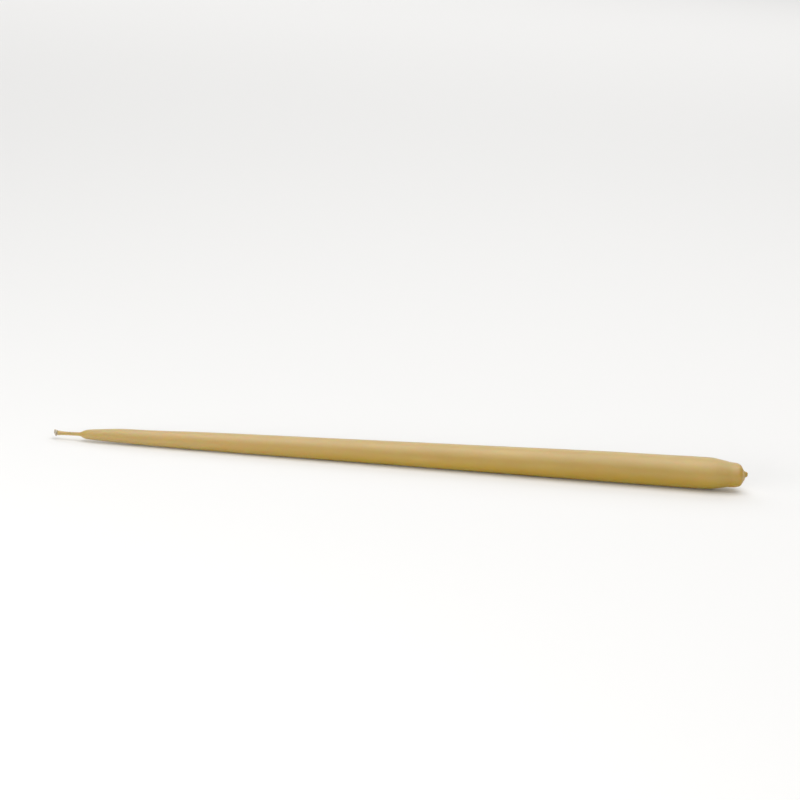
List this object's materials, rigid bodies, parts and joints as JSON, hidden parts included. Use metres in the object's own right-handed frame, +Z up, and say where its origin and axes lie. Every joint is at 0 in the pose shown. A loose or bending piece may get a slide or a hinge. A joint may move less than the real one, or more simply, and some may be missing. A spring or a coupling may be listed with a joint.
{
  "type": "taper candle",
  "caption": "Slim hand-dipped taper candle with a tapered butt seat, a drip nub and a wax-coated cotton wick, lying on its side.",
  "frame": {"origin": "centre of the bounding box's footprint, on the surface that the candle lies on", "axes": "+X along the candle from the wick to the butt, +Z up, and the candle's own axis rises 0.9 degrees toward +X because it lies on its tapered side"},
  "size_m": [0.28, 0.013, 0.0133],
  "materials": {
    "wax": "satin honey-coloured wax",
    "wick": "braided cotton soaked in wax"
  },
  "bodies": {
    "root": {"wax_body": "wax", "wick": "wick"}
  },
  "joints": []
}
